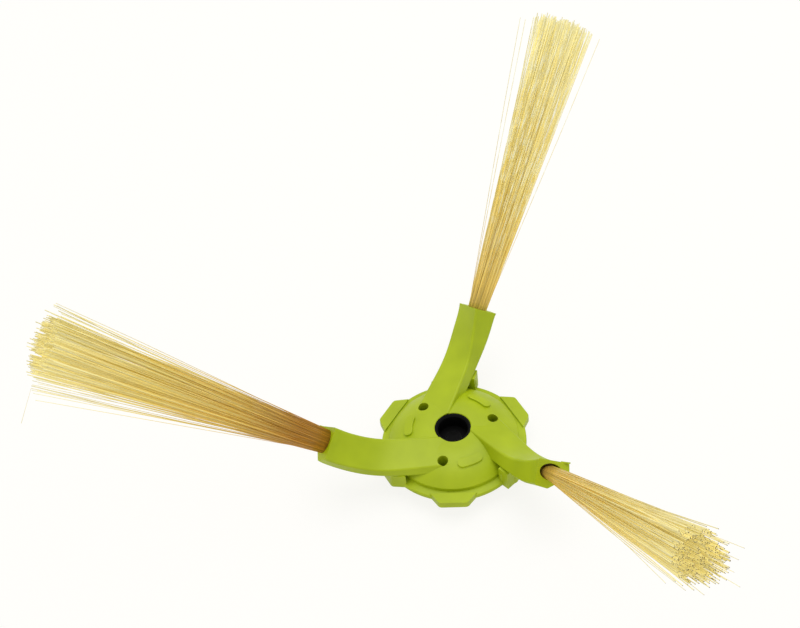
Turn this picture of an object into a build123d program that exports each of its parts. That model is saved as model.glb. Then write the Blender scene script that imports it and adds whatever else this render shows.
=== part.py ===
"""Three-armed side brush of a robot vacuum: soft hub moulding, hard drive core and three bristle tufts.

Millimetres, +Z up, origin on the spin axis in the plane the brush stands on.
The side that faces the floor in use is up.
"""
import os
from math import asin, cos, radians, sin, sqrt, tan

from build123d import *

os.makedirs("parts", exist_ok=True)

# Hub body, heights from the standing plane and radii from the spin axis
arm_count = 3
first_arm_angle = 90
rim_height = 9.0
top_flat_radius = 5.2
dome_radius = 10.6
dome_foot_radius = 12.95
flange_radius = 14.6
flange_bottom = 3.6
flange_edge_height = 4.6
flange_slope_rise = 0.2
flange_edge_round = 0.3
boss_radius = 8.0
rim_round = 0.25

# Tabs between the arms, saddle blocks of the same plan under the arms, and a gusset beside each saddle
tab_reach = 15.95
tab_root_radius = 13.5
tab_root_width = 9.2
tab_flank_angle = 54
tab_corner_round = 1.0
tab_height = 5.1
saddle_height = 7.0
gusset_turn = 13.0
gusset_width = 2.6
gusset_height = 8.2

# Arms: straight in plan, nearly level in the hub, bent up on one radius and twisted all the way to the mouth
arm_start = Vector(0.37, 14.12)
arm_heading = 66.7
arm_level_drop = 1.02
arm_bend_start = -4.6
arm_bend_radius = 23.0
arm_inner_tilt = 6.3
arm_mouth_tilt = 41.8
arm_inner_run = -13.0
arm_mouth_run = 12.6
arm_half_width = 3.3
arm_root_half_height = 1.6
arm_mouth_half_height = 2.6
arm_swell_run = 2.7
arm_root_keel = 1.3
arm_mouth_keel = 0.5
arm_belly = (0.5, 0.3)
arm_mouth_bank = 38.6
arm_twist_per_mm = 1.4
arm_edge_round = 0.4
arm_stations = 8

# Sockets in the arm ends
socket_half_width = 2.4
socket_half_height = 1.65
socket_shift = (0.3, -0.35)
socket_depth = 6.0

# Drive core with a screw recess above and a hexagon socket below
core_hub_radius = 6.2
core_flange_radius = 10.6
core_flange_bottom = 4.2
core_flange_top = 5.4
core_neck_radius = 3.64
core_neck_drop = 0.2
screw_head_radius = 3.0
screw_head_floor = 5.6
screw_hole_radius = 1.7
drive_hex_flats = 6.0
drive_hex_depth = 4.3
core_edge_break = 0.3

# Blind holes and raised ribs on the dome
pin_hole_radius = 1.07
pin_hole_circle = 8.32
pin_hole_angle = 136.3
rib_circle = 9.0
rib_angle = 53.0
rib_sweep = 22.0
rib_width = 1.7
rib_height = 0.45

# Tufts: a bonded root in each socket and straight strands that fan out to a flat cut end
tuft_aims = [(67.15, 34.8), (67.45, 39.0), (59.2, 34.2)]
tuft_length = 62.0
tuft_end_radius = 6.3
strand_count = 91
strand_sides = 5
strand_root_radius = 0.12
strand_end_radius = 0.36
strand_bite = 0.4
root_recess = 2.0
root_clearance = 0.05
root_fill = 0.64
golden_angle = 180 * (3 - sqrt(5))

arm_angles = [first_arm_angle + turn * 360 / arm_count for turn in range(arm_count)]
tab_angles = [angle + 180 / arm_count for angle in arm_angles]


def arm_plane(run):
    """Section plane of the first arm at a distance along its plan line: bent, then rolled by the twist."""
    lean = (run - arm_bend_start) / arm_bend_radius
    lean = min(max(lean, sin(radians(arm_inner_tilt))), sin(radians(arm_mouth_tilt)))
    tilt = asin(lean)
    past_bend = run - arm_bend_start - arm_bend_radius * lean
    rise = arm_bend_radius * (1 - cos(tilt)) + past_bend * tan(tilt)
    heading = radians(arm_heading)
    bank = radians(arm_mouth_bank - arm_twist_per_mm * (arm_mouth_run - run))
    along = Vector(cos(heading), sin(heading))
    aside = Vector(sin(heading), -cos(heading))
    tangent = along * cos(tilt) + Vector(0, 0, sin(tilt))
    upward = aside.cross(tangent)
    origin = arm_start + along * run + Vector(0, 0, rim_height - arm_level_drop + rise)
    return Plane(origin, x_dir=aside * cos(bank) + upward * sin(bank), z_dir=tangent)


def strand(root_point, end_point):
    """Straight tapered strand with flat faces, both ends parallel to the root face of the tuft."""
    corners = [Vector(1, 0, 0).rotate(Axis.Z, side * 360 / strand_sides) for side in range(strand_sides)]
    offsets = [root_top.x_dir * corner.X + root_top.y_dir * corner.Y for corner in corners]
    near = [root_point + offset * strand_root_radius for offset in offsets]
    far = [end_point + offset * strand_end_radius for offset in offsets]
    faces = [Face(Wire.make_polygon(near)), Face(Wire.make_polygon(far))]
    for side in range(strand_sides):
        faces.append(Face(Wire.make_polygon([near[side - 1], near[side], far[side], far[side - 1]])))
    return Solid(Shell(faces))


# Hard core before its openings, which the hub moulding is formed around
with BuildPart() as core_blank:
    with BuildSketch(Plane.XZ):
        with BuildLine():
            Polyline(
                (0, 0),
                (core_hub_radius, 0),
                (core_hub_radius, core_flange_bottom),
                (core_flange_radius, core_flange_bottom),
                (core_flange_radius, core_flange_top),
                (core_neck_radius, core_flange_top),
                (core_neck_radius, rim_height - core_neck_drop),
                (0, rim_height - core_neck_drop),
                close=True,
            )
        make_face()
    revolve(axis=Axis.Z)

# Drive core: recess for the screw head, screw hole through the web, hexagon socket from below
with BuildPart() as drive_core:
    add(core_blank.part)
    with BuildSketch(Plane.XY.offset(screw_head_floor)):
        Circle(screw_head_radius)
    extrude(amount=rim_height - screw_head_floor, mode=Mode.SUBTRACT)
    with BuildSketch():
        Circle(screw_hole_radius)
    extrude(amount=rim_height, mode=Mode.SUBTRACT)
    with BuildSketch():
        RegularPolygon(drive_hex_flats / 2, 6, major_radius=False)
    extrude(amount=drive_hex_depth, mode=Mode.SUBTRACT)
    top_rings = drive_core.edges().filter_by(GeomType.CIRCLE).group_by(Axis.Z)[-1]
    chamfer(top_rings.sort_by(SortBy.RADIUS)[0], core_edge_break)

# One arm with the socket for its tuft
with BuildPart() as arm:
    for station in range(arm_stations):
        share = station / (arm_stations - 1)
        run = arm_inner_run + share * (arm_mouth_run - arm_inner_run)
        swell = max(run - arm_swell_run, 0) / (arm_mouth_run - arm_swell_run)
        half_height = arm_root_half_height + swell * (arm_mouth_half_height - arm_root_half_height)
        keel = arm_root_keel + share * (arm_mouth_keel - arm_root_keel)
        with BuildSketch(arm_plane(run)) as section:
            with BuildLine():
                Polyline(
                    (-arm_half_width, -half_height),
                    (arm_half_width, -half_height),
                    (arm_half_width, half_height),
                    (arm_belly[0], half_height + arm_belly[1]),
                    (-arm_half_width - keel, 0),
                    close=True,
                )
            make_face()
            fillet(section.vertices(), arm_edge_round)
    loft()
    with BuildSketch(arm_plane(arm_mouth_run)):
        with Locations(socket_shift):
            Ellipse(socket_half_width, socket_half_height)
    extrude(amount=-socket_depth, mode=Mode.SUBTRACT)

# Raised rib that follows the dome
with BuildPart() as rib:
    with BuildSketch(Plane.XY.offset(core_flange_top)):
        middle = CenterArc((0, 0), rib_circle, rib_angle - rib_sweep / 2, rib_sweep, mode=Mode.PRIVATE)
        SlotArc(middle, rib_width)
    extrude(amount=rim_height - core_flange_top)
    with BuildSketch(Plane.XZ):
        with Locations((top_flat_radius, rim_height - dome_radius)):
            Circle(dome_radius + rib_height)
        with Locations((rib_circle, rim_height)):
            Rectangle(2 * rib_width, rim_height, mode=Mode.INTERSECT)
    revolve(axis=Axis.Z, mode=Mode.INTERSECT)

# Hub moulding: dome, flange and boss in one turn, tabs, saddles, arms, holes and ribs
with BuildPart() as hub_moulding:
    foot_drop = dome_radius - sqrt(dome_radius**2 - (dome_foot_radius - top_flat_radius) ** 2)
    with BuildSketch(Plane.XZ) as hub_profile:
        with BuildLine():
            foot = (dome_foot_radius, rim_height - foot_drop)
            flat_end = (top_flat_radius, rim_height)
            RadiusArc(foot, flat_end, -dome_radius)
            Polyline(
                flat_end,
                (core_neck_radius, rim_height),
                (core_neck_radius, 0),
                (boss_radius, 0),
                (boss_radius, flange_bottom),
                (flange_radius, flange_bottom),
                (flange_radius, flange_edge_height),
                (dome_foot_radius, flange_edge_height + flange_slope_rise),
                foot,
            )
        make_face()
        fillet(hub_profile.vertices().group_by(Axis.X)[-1], flange_edge_round)
        fillet(hub_profile.vertices().group_by(Axis.X)[0].sort_by(Axis.Y)[-1], rim_round)
    revolve(axis=Axis.Z)
    for angles, height in ((tab_angles, tab_height), (arm_angles, saddle_height)):
        with BuildSketch(Plane.XY.offset(flange_bottom)) as tab_plan:
            with PolarLocations((tab_root_radius + tab_reach) / 2, arm_count, start_angle=angles[0]):
                Trapezoid(tab_root_width, tab_reach - tab_root_radius, tab_flank_angle, rotation=-90)
            outer_corners = [v for v in tab_plan.vertices() if v.center().length > tab_reach]
            fillet(outer_corners, tab_corner_round)
        extrude(amount=height - flange_bottom)
    with BuildSketch(Plane.XY.offset(flange_bottom)):
        gusset_angle = arm_angles[0] - gusset_turn
        with PolarLocations((tab_root_radius + tab_reach) / 2, arm_count, start_angle=gusset_angle):
            Rectangle(tab_reach - tab_root_radius, gusset_width)
    extrude(amount=gusset_height - flange_bottom)
    with PolarLocations(0, arm_count):
        add(arm.part)
    with BuildSketch():
        Circle(tab_root_radius)
        Circle(boss_radius, mode=Mode.SUBTRACT)
    extrude(amount=flange_bottom, mode=Mode.SUBTRACT)
    with BuildSketch(Plane.XY.offset(core_flange_top)):
        Circle(core_neck_radius)
        with PolarLocations(pin_hole_circle, arm_count, start_angle=pin_hole_angle):
            Circle(pin_hole_radius)
    extrude(amount=rim_height, mode=Mode.SUBTRACT)
    add(core_blank.part, mode=Mode.SUBTRACT)
    with PolarLocations(0, arm_count):
        add(rib.part)

# Tufts: bonded root in the socket, strands on a sunflower pattern that widens to the cut end
mouth = arm_plane(arm_mouth_run)
socket = Plane(mouth.from_local_coords(socket_shift), x_dir=mouth.x_dir, z_dir=mouth.z_dir)
root_top = socket.offset(-root_recess)
tufts = []
for turn, (heading, tilt) in enumerate(tuft_aims):
    aim = Vector(1, 0, 0).rotate(Axis.Y, -tilt).rotate(Axis.Z, heading)
    end_across = socket.x_dir - aim * aim.dot(socket.x_dir)
    end_plane = Plane(socket.origin + aim * tuft_length, x_dir=end_across, z_dir=aim)
    strands = []
    for number in range(strand_count):
        spread = sqrt((number + 0.5) / strand_count)
        across = spread * cos(radians(number * golden_angle))
        down = spread * sin(radians(number * golden_angle))
        root_across = across * root_fill * socket_half_width
        root_down = down * root_fill * socket_half_height
        root_point = root_top.from_local_coords((root_across, root_down, -strand_bite))
        end_point = end_plane.from_local_coords((across * tuft_end_radius, down * tuft_end_radius, 0))
        strands.append(strand(root_point, end_point))
    with BuildPart() as tuft:
        with BuildSketch(root_top):
            Ellipse(socket_half_width - root_clearance, socket_half_height - root_clearance)
        extrude(amount=root_recess - socket_depth)
        add(strands)
    tufts.append(tuft.part.rotate(Axis.Z, turn * 360 / arm_count))

# Named pieces
hub_moulding.part.label = "hub_moulding"
drive_core.part.label = "drive_core"
export_step(hub_moulding.part, "parts/hub_moulding.step")
export_step(drive_core.part, "parts/drive_core.step")
for number, tuft_part in enumerate(tufts, start=1):
    tuft_part.label = f"bristle_tuft_{number}"
    export_step(tuft_part, f"parts/bristle_tuft_{number}.step")
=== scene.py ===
"""Three-armed side brush of a robot vacuum in a white studio, in the order of its assembly."""

import bpy
import numpy as np
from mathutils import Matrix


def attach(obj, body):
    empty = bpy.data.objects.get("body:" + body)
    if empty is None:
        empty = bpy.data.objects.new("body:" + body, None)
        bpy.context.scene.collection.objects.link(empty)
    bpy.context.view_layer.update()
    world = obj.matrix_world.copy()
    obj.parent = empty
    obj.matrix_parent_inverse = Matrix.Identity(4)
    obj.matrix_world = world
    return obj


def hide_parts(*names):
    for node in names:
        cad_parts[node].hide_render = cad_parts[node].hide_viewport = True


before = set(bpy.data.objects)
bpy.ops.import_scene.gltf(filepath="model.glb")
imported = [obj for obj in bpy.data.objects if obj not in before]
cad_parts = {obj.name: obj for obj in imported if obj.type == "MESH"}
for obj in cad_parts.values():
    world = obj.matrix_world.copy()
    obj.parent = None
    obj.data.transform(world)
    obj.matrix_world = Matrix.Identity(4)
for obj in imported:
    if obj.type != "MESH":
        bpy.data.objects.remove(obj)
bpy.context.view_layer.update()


# Drive core: the hard middle that a screw clamps to the gearbox post, injection moulded in black
# glass-filled nylon. The soft hub is moulded round it, so from above only its screw recess shows.

MM = 0.001
core_black = "#030303"
core_grit = 0.3 * MM
grit_height = 0.03 * MM


def linear(colour):
    """sRGB hex to linear RGBA.

    A channel c becomes ((c + 0.055) / 1.055) ** 2.4, or c / 12.92 near black.
    """
    channels = np.array([int(colour[i : i + 2], 16) for i in (1, 3, 5)]) / 255
    curve = np.where(channels > 0.04045, ((channels + 0.055) / 1.055) ** 2.4, channels / 12.92)
    return (*curve.tolist(), 1.0)


def add_node(tree, kind, settings={}, sockets={}, links={}):
    """Adds a shader node: its properties, its plain inputs, and its inputs from (node, output)."""
    node = tree.nodes.new(kind)
    for name, value in settings.items():
        setattr(node, name, value)
    for key, value in sockets.items():
        node.inputs[key].default_value = value
    for key, (source, output) in links.items():
        tree.links.new(source.outputs[output], node.inputs[key])
    return node


def empty_tree(block):
    """Node tree of a material or world with nothing in it."""
    block.use_nodes = True
    block.node_tree.nodes.clear()
    return block.node_tree


# Glass-filled nylon as moulded: the fibres at its skin leave it matt, so the recess stays deep black.
# The grit is drawn coarser than the real one, so that it shows.
black_nylon = bpy.data.materials.new("black_glass_filled_nylon")
tree = empty_tree(black_nylon)
place = add_node(tree, "ShaderNodeTexCoord")
grit = add_node(
    tree,
    "ShaderNodeTexNoise",
    sockets={"Scale": 1 / core_grit, "Detail": 3.0},
    links={"Vector": (place, "Object")},
)
sheen = add_node(
    tree,
    "ShaderNodeMapRange",
    sockets={"To Min": 0.5, "To Max": 0.68},
    links={"Value": (grit, "Fac")},
)
relief = add_node(
    tree,
    "ShaderNodeBump",
    sockets={"Strength": 0.25, "Distance": grit_height},
    links={"Height": (grit, "Fac")},
)
surface = add_node(
    tree,
    "ShaderNodeBsdfPrincipled",
    sockets={"Base Color": linear(core_black), "IOR": 1.53, "Specular IOR Level": 0.08},
    links={"Roughness": (sheen, "Result"), "Normal": (relief, "Normal")},
)
add_node(tree, "ShaderNodeOutputMaterial", links={"Surface": (surface, "BSDF")})
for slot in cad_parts["drive_core"].material_slots:
    slot.material = black_nylon


# Hub moulding: dome, flange, tabs and the three socket arms in one shot of soft elastomer, moulded
# round the core. It comes out of the tool lime green, with no paint or second finish.

lime = "#B0C210"
lime_deep = "#A4B60A"
lime_cloud = 6.0 * MM
cloud_edges = (0.3, 0.7)
skin_grain = 0.35 * MM
grain_height = 0.03 * MM
light_reach = 1 * MM

# Thermoplastic elastomer as moulded: a satin skin with broad, dull highlights, a faint cloud in its
# green, and a little light let in at the edges. The grain is drawn coarser than the tool's.
elastomer = bpy.data.materials.new("lime_thermoplastic_elastomer")
tree = empty_tree(elastomer)
place = add_node(tree, "ShaderNodeTexCoord")
cloud = add_node(
    tree,
    "ShaderNodeTexNoise",
    sockets={"Scale": 1 / lime_cloud, "Detail": 2.0},
    links={"Vector": (place, "Object")},
)
tint = add_node(tree, "ShaderNodeValToRGB", links={"Fac": (cloud, "Fac")})
for stop, position, colour in zip(tint.color_ramp.elements, cloud_edges, (lime_deep, lime)):
    stop.position = position
    stop.color = linear(colour)
grain = add_node(
    tree,
    "ShaderNodeTexNoise",
    sockets={"Scale": 1 / skin_grain, "Detail": 3.0},
    links={"Vector": (place, "Object")},
)
sheen = add_node(
    tree,
    "ShaderNodeMapRange",
    sockets={"To Min": 0.4, "To Max": 0.52},
    links={"Value": (grain, "Fac")},
)
relief = add_node(
    tree,
    "ShaderNodeBump",
    sockets={"Strength": 0.15, "Distance": grain_height},
    links={"Height": (grain, "Fac")},
)
surface = add_node(
    tree,
    "ShaderNodeBsdfPrincipled",
    sockets={
        "IOR": 1.49,
        "Specular IOR Level": 0.35,
        "Subsurface Weight": 0.08,
        "Subsurface Radius": (1.0, 1.0, 0.3),
        "Subsurface Scale": light_reach,
    },
    links={
        "Base Color": (tint, "Color"),
        "Roughness": (sheen, "Result"),
        "Normal": (relief, "Normal"),
    },
)
add_node(tree, "ShaderNodeOutputMaterial", links={"Surface": (surface, "BSDF")})
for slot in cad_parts["hub_moulding"].material_slots:
    slot.material = elastomer


# Bristle tufts: bundles of drawn amber nylon filament, bonded into the arm sockets and cut off flat.
# They fan out from the socket, and some single bristles have bent or strayed from the bundle.

# Socket of the first arm, in millimetres; the others are the same, turned about the spin axis
socket_centre = np.array([5.24720, 25.40403, 15.84924])
socket_across = np.array([0.553303, -0.691050, 0.465087])
socket_axis = np.array([0.294870, 0.684680, 0.666532])
socket_down = np.cross(socket_axis, socket_across)
socket_frame = np.stack([socket_across, socket_down, socket_axis])
socket_half = (2.35, 1.60)
socket_depth = 6.0
root_recess = 2.0

# Bonded root at the bottom of the socket
plug_rise = 0.3
plug_corners = 40
# The plug's tone is set darker than most filaments', as painted shade deep in the socket
plug_shade = 0.2

# Filaments, in millimetres, with scatter, clumps and fringe as shares of the bundle's half width
filament_count = 430
filament_radius = 0.085
stray_radius = 0.05
filament_corners = 5
filament_bow = 0.35
length_scatter = 0.22
end_scatter = 0.07
clump_count = 26
clump_pull = 0.22
fringe_start = 0.93
stray_seat = 0.97
golden_angle = np.pi * (3 - np.sqrt(5))
end_reference = np.array([0.858714, -0.495834, 0.129455])

# What the colour reads along a filament: 0 at the root, 1 at the end and more on the cut face, which
# is painted shade
cut_tone = 1.2
ring_tones = np.array([0.0, 0.12, 0.3, 0.5, 0.72, 1.0, cut_tone])
# Shares of the length that have a ring; the last two are so close that only the cut lies past them
ring_shares = np.array([0.0, 0.12, 0.3, 0.5, 0.72, 0.9995, 1.0])
# Shares of the bent stretch at which a bent bristle has its last three rings
hook_shares = np.array([[0.0], [0.99], [1.0]])

# Painted shade deepens the amber towards the root, where filaments crowd; painted light pales it
# towards the ends
amber_root = "#C48E2C"
amber_thick = "#EACA62"
amber_mid = "#F6E284"
straw_end = "#FFF4B0"
# Painted shade: the cut ends drawn dark
cut_face_painted_shade = "#5C4212"
# Painted highlight: the colour of the glints
painted_glint = "#FFFBD2"
tone_stops = (
    (0.0, amber_root),
    (0.12, amber_root),
    (0.3, amber_thick),
    (0.55, amber_mid),
    (0.83, straw_end),
    (0.9, cut_face_painted_shade),
)
# Painted highlights: their streaks along a filament, and where along the length they begin and ramp
# up
painted_glints_along = 24
painted_glint_start = 0.15
painted_glint_ramp = 0.25


def tubes(paths, aside, upward, corners):
    """Closed tubes along many paths: a point is path + cos(turn) * aside + sin(turn) * upward."""
    count, stations = paths.shape[:2]
    turn = np.arange(corners) * 2 * np.pi / corners
    spokes = np.cos(turn)[:, None] * aside[:, :, None] + np.sin(turn)[:, None] * upward[:, :, None]
    index = np.arange(count * stations * corners).reshape(count, stations, corners)
    beside = np.roll(index, -1, axis=2)
    walls = np.stack([index[:, :-1], beside[:, :-1], beside[:, 1:], index[:, 1:]], axis=-1)
    caps = np.concatenate([index[:, 0, ::-1], index[:, -1]])
    faces = walls.reshape(-1, 4).tolist() + caps.tolist()
    return (paths[:, :, None] + spokes).reshape(-1, 3), faces


def turned(vectors, angle):
    """Vectors turned about the spin axis by an angle in degrees."""
    c, s = np.cos(np.radians(angle)), np.sin(np.radians(angle))
    return vectors @ np.array([[c, s, 0], [-s, c, 0], [0, 0, 1]])


# Nylon as drawn: clear amber with a smooth skin. Painted shade deepens its colour at the root, where
# filaments crowd, and painted light pales it towards the ends. Each filament is a little lighter or
# darker than the next.
amber_nylon = bpy.data.materials.new("drawn_amber_nylon")
tree = empty_tree(amber_nylon)
along = add_node(tree, "ShaderNodeAttribute", settings={"attribute_name": "along"})
shade = add_node(tree, "ShaderNodeAttribute", settings={"attribute_name": "shade"})
painted_gleam = add_node(tree, "ShaderNodeAttribute", settings={"attribute_name": "painted_gleam"})
scaled = add_node(
    tree,
    "ShaderNodeMath",
    settings={"operation": "DIVIDE"},
    sockets={1: cut_tone},
    links={0: (along, "Fac")},
)
painted_shade_and_light_ramp = add_node(tree, "ShaderNodeValToRGB", links={"Fac": (scaled, "Value")})
while len(painted_shade_and_light_ramp.color_ramp.elements) < len(tone_stops):
    painted_shade_and_light_ramp.color_ramp.elements.new(0.5)
for stop, (position, colour) in zip(painted_shade_and_light_ramp.color_ramp.elements, tone_stops):
    stop.position = position
    stop.color = linear(colour)
value = add_node(
    tree,
    "ShaderNodeMapRange",
    sockets={"To Min": 0.8, "To Max": 1.2},
    links={"Value": (shade, "Fac")},
)
varied = add_node(
    tree,
    "ShaderNodeHueSaturation",
    links={"Color": (painted_shade_and_light_ramp, "Color"), "Value": (value, "Result")},
)
# Painted highlights: glints painted into the colour as streaks some millimetres long, at other places
# on each filament
painted_glint_length = add_node(
    tree,
    "ShaderNodeMath",
    settings={"operation": "MULTIPLY"},
    sockets={1: painted_glints_along},
    links={0: (along, "Fac")},
)
single = add_node(
    tree,
    "ShaderNodeMath",
    settings={"operation": "MULTIPLY"},
    sockets={1: filament_count},
    links={0: (shade, "Fac")},
)
spot = add_node(
    tree,
    "ShaderNodeCombineXYZ",
    links={"X": (painted_glint_length, "Value"), "Y": (single, "Value")},
)
streak = add_node(
    tree,
    "ShaderNodeTexNoise",
    settings={"noise_dimensions": "2D"},
    sockets={"Scale": 1.0, "Detail": 1.0},
    links={"Vector": (spot, "Vector")},
)
bright = add_node(
    tree,
    "ShaderNodeMapRange",
    sockets={"From Min": 0.5, "From Max": 0.6},
    links={"Value": (streak, "Fac")},
)
glinting = add_node(
    tree,
    "ShaderNodeMath",
    settings={"operation": "MULTIPLY"},
    links={0: (bright, "Result"), 1: (painted_gleam, "Fac")},
)
# The Mix node's colour sockets share their names with its other kinds, so they go by number
mix_share, mix_from, mix_to, mix_result = 0, 6, 7, 2
glinted = add_node(
    tree,
    "ShaderNodeMix",
    settings={"data_type": "RGBA"},
    sockets={mix_to: linear(painted_glint)},
    links={mix_share: (glinting, "Value"), mix_from: (varied, "Color")},
)
surface = add_node(
    tree,
    "ShaderNodeBsdfPrincipled",
    sockets={"Roughness": 0.3, "IOR": 1.53},
    links={"Base Color": (glinted, mix_result)},
)
add_node(tree, "ShaderNodeOutputMaterial", links={"Surface": (surface, "BSDF")})

# Angles are in degrees and sizes in millimetres: turn about the spin axis, heading and tilt of the
# bundle, how far it fills the socket, half widths, turn and middle of its end, how far its fringe
# spreads, how much painted light pales its root, how many its painted glints and how much painted
# shade darkens its cut ends. Strays are the ends of single bristles, as across, down and past the
# bundle's end; bent_end is where the last one hooks to.
tufts = [
    dict(
        turn=0, heading=67.15, tilt=34.8, length=61.3, fill=1.0, mouth_middle=(0, 0),
        end_half=(5.7, 5.7), end_turn=0, end_middle=(0, 0), fringe_spread=0.3,
        painted_pale=0.36, painted_glints=0.95, cut_painted_shade=0.0,
        strays=[(-8.0, -4.1, -1.1), (-7.0, -3.6, -1.2), (7.1, 3.6, -0.7)],
        bent_end=None,
    ),
    dict(
        turn=120, heading=67.45, tilt=39.0, length=62.0, fill=1.0, mouth_middle=(0, 0),
        end_half=(6.1, 6.1), end_turn=0, end_middle=(0, 0), fringe_spread=0.3,
        painted_pale=0.0, painted_glints=0.12, cut_painted_shade=0.0,
        strays=[
            (6.4, -4.4, 0.2), (6.0, -3.8, 0.3), (-5.6, 4.2, -0.6), (-5.9, 4.1, -1.8),
            (-6.2, 4.6, -0.9), (-6.5, 4.5, -1.2), (-6.8, 4.9, -2.1), (-7.1, 5.0, -1.0),
            (-7.5, 5.2, -1.5), (-8.4, 5.8, -2.3), (-6.89, 4.79, -0.8),
        ],
        bent_end=(-12.3, 8.6, -1.3),
    ),
    dict(
        turn=240, heading=59.2, tilt=34.2, length=62.0, fill=0.86, mouth_middle=(-0.25, 0.2),
        end_half=(6.0, 5.0), end_turn=-45, end_middle=(0.5, 0.35), fringe_spread=0.12,
        painted_pale=0.25, painted_glints=0.15, cut_painted_shade=1.0,
        strays=[
            (7.6, 2.4, 0), (4.4, 4.9, 0), (1.3, 6.9, 0), (-7.7, 1.6, 0),
            (-5.4, 7.9, 0), (-4.9, 5.0, 0), (-6.2, 3.2, 0),
        ],
        bent_end=None,
    ),
]
for number, tuft in enumerate(tufts, start=1):
    draw = np.random.default_rng(number)
    heading, tilt, end_turn = np.radians([tuft["heading"], tuft["tilt"], tuft["end_turn"]])
    aim = np.array([np.cos(tilt) * np.cos(heading), np.cos(tilt) * np.sin(heading), np.sin(tilt)])
    end_across = end_reference - aim * (aim @ end_reference)
    end_across /= np.linalg.norm(end_across)
    end_frame = np.stack([end_across, np.cross(aim, end_across), aim])

    # Sunflower pattern: a seat's radius is the root of its share of the count, and each seat is
    # turned on from the last by the golden angle
    order = (np.arange(filament_count) + 0.5) / filament_count
    turns = np.arange(filament_count) * golden_angle
    seats = np.sqrt(order)[:, None] * np.stack([np.cos(turns), np.sin(turns)], axis=1)
    ends = seats + draw.normal(0, end_scatter, seats.shape)
    # Filaments lean together in clumps, each towards the nearest of a few of them
    middles = ends[draw.choice(filament_count, clump_count, replace=False)]
    nearest = np.argmin(np.linalg.norm(ends[:, None] - middles[None], axis=2), axis=1)
    ends += clump_pull * (middles[nearest] - ends)
    fringe = order > fringe_start
    ends[fringe] *= 1 + tuft["fringe_spread"] * draw.random((fringe.sum(), 1))
    c, s = np.cos(end_turn), np.sin(end_turn)
    ends = (ends * tuft["end_half"]) @ np.array([[c, s], [-s, c]]) + tuft["end_middle"]
    past = draw.normal(0, length_scatter, filament_count)

    # Strays are seated at the side of the bundle that they lean to
    strays = np.array(tuft["strays"], dtype=float)
    lean = strays[:, :2] / np.linalg.norm(strays[:, :2], axis=1, keepdims=True)
    seats = np.concatenate([seats, stray_seat * lean])
    ends = np.concatenate([ends, strays[:, :2]])
    past = np.concatenate([past, strays[:, 2]])
    radii = np.repeat([filament_radius, stray_radius], [filament_count, len(strays)])

    # Each runs straight from its root to its tip, plus a bow of 4 s (1 - s) s at share s of the way
    mouth_seats = seats * tuft["fill"] * socket_half + tuft["mouth_middle"]
    mouths = socket_centre + mouth_seats @ socket_frame[:2]
    tips = socket_centre + np.column_stack([ends, tuft["length"] + past]) @ end_frame
    heads = (tips - mouths) / np.linalg.norm(tips - mouths, axis=1, keepdims=True)
    roots = mouths - root_recess * heads
    bows = draw.normal(0, filament_bow, (len(seats), 3))
    share = ring_shares[None, :, None]
    paths = roots[:, None] + (tips - roots)[:, None] * share
    paths += bows[:, None] * 4 * share * (1 - share) * share
    if tuft["bent_end"]:
        hook = socket_centre + (np.array(tuft["bent_end"]) + (0, 0, tuft["length"])) @ end_frame
        paths[-1, -len(hook_shares) :] = tips[-1] + hook_shares * (hook - tips[-1])
    flow = np.gradient(paths, axis=1)
    flow /= np.linalg.norm(flow, axis=2, keepdims=True)
    aside = np.cross(flow, socket_down)
    aside *= radii[:, None, None] / np.linalg.norm(aside, axis=2, keepdims=True)
    points, faces = tubes(paths, aside, np.cross(flow, aside), filament_corners)

    # The bond that holds the filaments: an elliptic plug from their roots to the socket's bottom
    plug_path = socket_centre - np.array([[socket_depth], [root_recess - plug_rise]]) * socket_axis
    plug_points, plug_faces = tubes(
        plug_path[None],
        np.broadcast_to(socket_across * socket_half[0], (1, 2, 3)),
        np.broadcast_to(socket_down * socket_half[1], (1, 2, 3)),
        plug_corners,
    )
    faces += [[corner + len(points) for corner in face] for face in plug_faces]
    points = turned(np.concatenate([points, plug_points]), tuft["turn"]) * MM

    mesh = bpy.data.meshes.new(f"tuft_filaments_{number}")
    mesh.from_pydata(points.tolist(), [], faces)
    # Painted light pales the root of some tufts, painted shade darkens the cut ends, and painted
    # highlights rise along each filament
    ring_painted_pale = tuft["painted_pale"] + (1 - tuft["painted_pale"]) * ring_tones
    cut = 1 + tuft["cut_painted_shade"] * (ring_tones - 1)
    ring_along = np.where(ring_tones > 1, cut, ring_painted_pale)
    ring_painted_gleam = tuft["painted_glints"] * np.clip((ring_tones - painted_glint_start) / painted_glint_ramp, 0, 1)
    own_shade = np.repeat(draw.random(len(seats)), len(ring_shares) * filament_corners)
    attributes = {
        "painted_gleam": (np.tile(np.repeat(ring_painted_gleam, filament_corners), len(seats)), 0.0),
        "along": (np.tile(np.repeat(ring_along, filament_corners), len(seats)), 0.0),
        "shade": (own_shade, plug_shade),
    }
    for name, (on_filaments, on_plug) in attributes.items():
        values = np.concatenate([on_filaments, np.full(len(plug_points), on_plug)])
        mesh.attributes.new(name, "FLOAT", "POINT").data.foreach_set("value", values)
    # Walls are round and the cut ends flat
    mesh.polygons.foreach_set("use_smooth", [len(face) == 4 for face in faces])
    mesh.materials.append(amber_nylon)
    piece = bpy.data.objects.new(f"tuft_filaments_{number}", mesh)
    bpy.context.scene.collection.objects.link(piece)
    # Clear filament lets the light through to its neighbours
    piece.visible_shadow = False
    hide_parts(f"bristle_tuft_{number}")
    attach(piece, "root")


# Mould flash: two thin fins of the hub's elastomer that squeezed out between the tool halves and were
# left standing on the rims of two sockets. They are part of the same shot as the hub.

fin_thickness = 0.3
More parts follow.
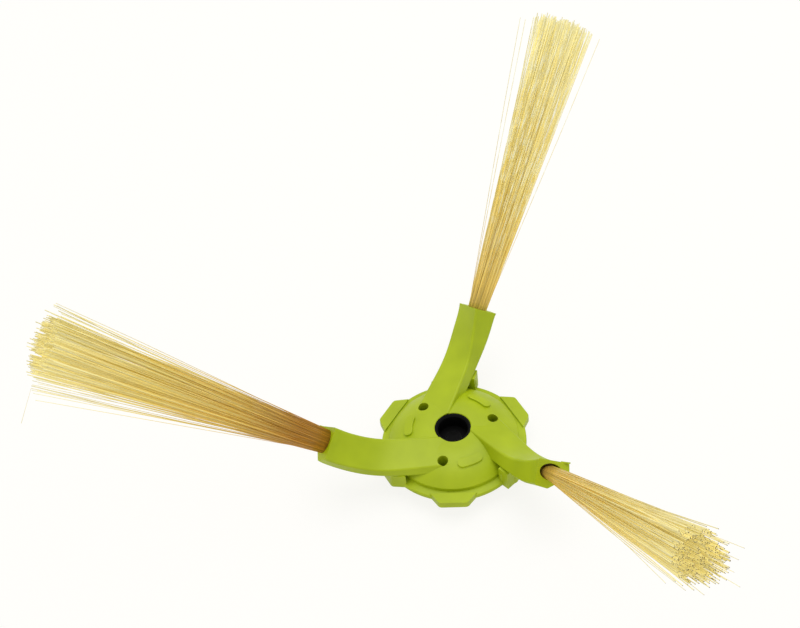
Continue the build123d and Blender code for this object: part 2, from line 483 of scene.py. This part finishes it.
# Three corners each, as across, down and out from the socket's middle, and the way it is thin
flash_fins = {
    "mould_flash_2": dict(
        turn=120,
        corners=[(2.9, 2.75, -0.3), (2.9, 0.9, -0.3), (2.95, 2.7, 0.75)],
        thin=(1, 0, 0),
    ),
    "mould_flash_3": dict(
        turn=240,
        corners=[(-3.4, -2.1, -0.3), (-1.9, -2.1, -0.3), (-3.4, -2.15, 0.85)],
        thin=(0, 1, 0),
    ),
}
# A three-sided slab: near corners are 0 to 2, far ones 3 to 5
fin_faces = [[2, 1, 0], [3, 4, 5], [1, 4, 3, 0], [2, 5, 4, 1], [0, 3, 5, 2]]
for name, fin in flash_fins.items():
    near = np.array(fin["corners"])
    far = near - fin_thickness * np.array(fin["thin"])
    points = socket_centre + np.concatenate([near, far]) @ socket_frame
    mesh = bpy.data.meshes.new(name)
    mesh.from_pydata((turned(points, fin["turn"]) * MM).tolist(), [], fin_faces)
    mesh.materials.append(elastomer)
    piece = bpy.data.objects.new(name, mesh)
    bpy.context.scene.collection.objects.link(piece)
    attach(piece, "root")


# Stage: a white paper sweep that the camera sees as white, with only a faint shadow of the brush,
# under one large overhead soft box and an even white room.

floor_half = 2.0
paper_white = "#F4F3EF"
paper_seen = "#FFFEFB"
paper_glow = 1.03
shadow_share = 0.16
room_white = "#FFFFFF"
room_light = 0.6
box_size = 0.5
box_power = 1.8
box_place = (0.05, 0.1, 0.6)


def background_rays(tree):
    """1 for a ray that shows the background, straight, in a gloss or through clear stuff, else 0."""
    sight = add_node(tree, "ShaderNodeLightPath")
    seen = (sight, "Is Camera Ray")
    for ray in ("Is Glossy Ray", "Is Transmission Ray"):
        either = add_node(
            tree,
            "ShaderNodeMath",
            settings={"operation": "MAXIMUM"},
            links={0: seen, 1: (sight, ray)},
        )
        seen = (either, "Value")
    return seen


floor_mesh = bpy.data.meshes.new("paper_floor")
corners = np.array([[-1, -1, 0], [1, -1, 0], [1, 1, 0], [-1, 1, 0]]) * floor_half
floor_mesh.from_pydata(corners.tolist(), [], [[0, 1, 2, 3]])
floor = bpy.data.objects.new("paper_floor", floor_mesh)
bpy.context.scene.collection.objects.link(floor)

# Matt paper, most of which shows as plain white, and the rest of which takes the shadow
paper = bpy.data.materials.new("white_paper")
tree = empty_tree(paper)
lit_share = add_node(
    tree,
    "ShaderNodeMath",
    settings={"operation": "MULTIPLY"},
    sockets={1: 1 - shadow_share},
    links={0: background_rays(tree)},
)
matt = add_node(tree, "ShaderNodeBsdfDiffuse", sockets={"Color": linear(paper_white)})
glow = add_node(
    tree,
    "ShaderNodeEmission",
    sockets={"Color": linear(paper_seen), "Strength": paper_glow},
)
sheet = add_node(
    tree,
    "ShaderNodeMixShader",
    links={0: (lit_share, "Value"), 1: (matt, "BSDF"), 2: (glow, "Emission")},
)
add_node(tree, "ShaderNodeOutputMaterial", links={"Surface": (sheet, "Shader")})
floor_mesh.materials.append(paper)

room = bpy.data.worlds.new("white_room")
tree = empty_tree(room)
strength = add_node(
    tree,
    "ShaderNodeMapRange",
    sockets={"To Min": room_light, "To Max": 1.0},
    links={"Value": background_rays(tree)},
)
sky = add_node(
    tree,
    "ShaderNodeBackground",
    sockets={"Color": linear(room_white)},
    links={"Strength": (strength, "Result")},
)
add_node(tree, "ShaderNodeOutputWorld", links={"Surface": (sky, "Background")})
bpy.context.scene.world = room

lamp = bpy.data.lights.new("soft_box", "AREA")
lamp.shape = "SQUARE"
lamp.size = box_size
lamp.energy = box_power
lamp_object = bpy.data.objects.new("soft_box", lamp)
lamp_object.location = box_place
bpy.context.scene.collection.objects.link(lamp_object)


# Camera: a long lens at the angle of the photograph, which is taken as 800 by 628 pixels.
# Its place was fitted to the hub's rings: distance, in millimetres, and offsets are from the middle
# of the screw recess's rim.

view_azimuth = np.radians(6.0)
view_elevation = np.radians(48.33)
view_roll = np.radians(6.34)
view_distance = 450.0
view_offset = (-8.00, 23.61)
rim_height = 9.0
focal_pixels = 2250.0
image_width = 800
sensor_width = 36.0
nearest_seen = 0.01

right = np.array([np.cos(view_azimuth), np.sin(view_azimuth), 0])
level_back = np.array([np.sin(view_azimuth), -np.cos(view_azimuth), 0])
up = np.array([0, 0, 1])
back = level_back * np.cos(view_elevation) + up * np.sin(view_elevation)
above = np.cross(back, right)
eye = view_offset[0] * right + view_offset[1] * above + view_distance * back + rim_height * up
stand = np.eye(4)
stand[:3, 0] = np.cos(view_roll) * right - np.sin(view_roll) * above
stand[:3, 1] = np.sin(view_roll) * right + np.cos(view_roll) * above
stand[:3, 2] = back
stand[:3, 3] = eye * MM

lens = bpy.data.cameras.new("camera")
lens.sensor_fit = "HORIZONTAL"
lens.sensor_width = sensor_width
lens.lens = sensor_width * focal_pixels / image_width
lens.clip_start = nearest_seen
camera = bpy.data.objects.new("camera", lens)
camera.matrix_world = stand.T.tolist()
bpy.context.scene.collection.objects.link(camera)
bpy.context.scene.camera = camera

bpy.context.scene.view_settings.view_transform = "Standard"
